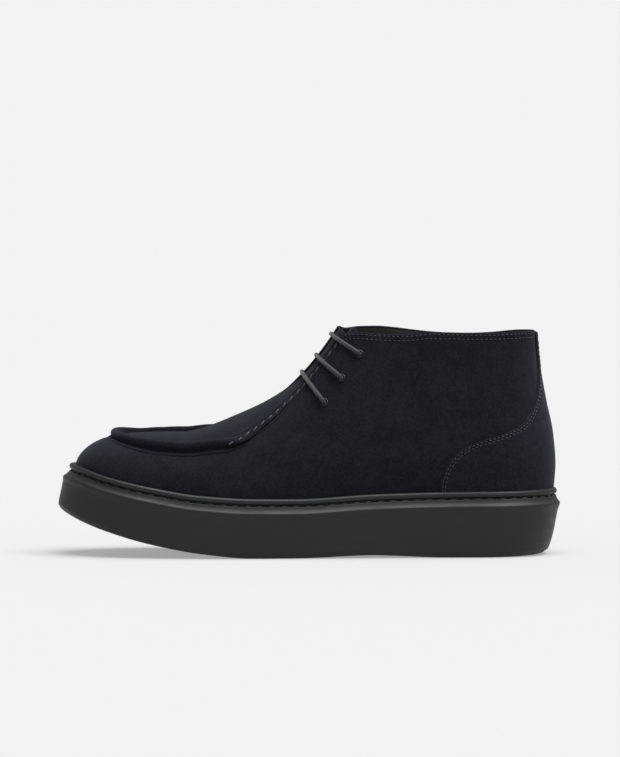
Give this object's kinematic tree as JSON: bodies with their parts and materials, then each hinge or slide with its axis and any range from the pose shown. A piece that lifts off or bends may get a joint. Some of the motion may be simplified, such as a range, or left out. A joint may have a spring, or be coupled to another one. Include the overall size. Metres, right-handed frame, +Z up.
{
  "type": "chukka boot",
  "caption": "Ankle-high lace-up boot in dark suede with a raised apron seam, an open collar, a heel counter and a thick rubber cup sole",
  "frame": {"origin": "On the floor under the middle of the sole, halfway along its length.", "axes": "+X runs back from the toe to the heel, +Y to the inner side of the foot, +Z up; a left foot's boot."},
  "size_m": [0.3058, 0.1065, 0.139],
  "materials": {
    "outsole_rubber": "satin",
    "welt_rubber": "satin",
    "insole_lining": "matte",
    "upper_suede": "matte",
    "tongue_suede": "matte",
    "counter_suede": "matte",
    "lace_cord": "satin",
    "eyelet_metal": "satin"
  },
  "bodies": {
    "root": {"outsole": "outsole_rubber", "welt": "welt_rubber", "insole": "insole_lining", "upper": "upper_suede", "tongue": "tongue_suede", "heel_counter": "counter_suede", "lace": "lace_cord", "eyelet_outer_1": "eyelet_metal", "eyelet_outer_2": "eyelet_metal", "eyelet_outer_3": "eyelet_metal", "eyelet_inner_1": "eyelet_metal", "eyelet_inner_2": "eyelet_metal", "eyelet_inner_3": "eyelet_metal"}
  },
  "joints": []
}
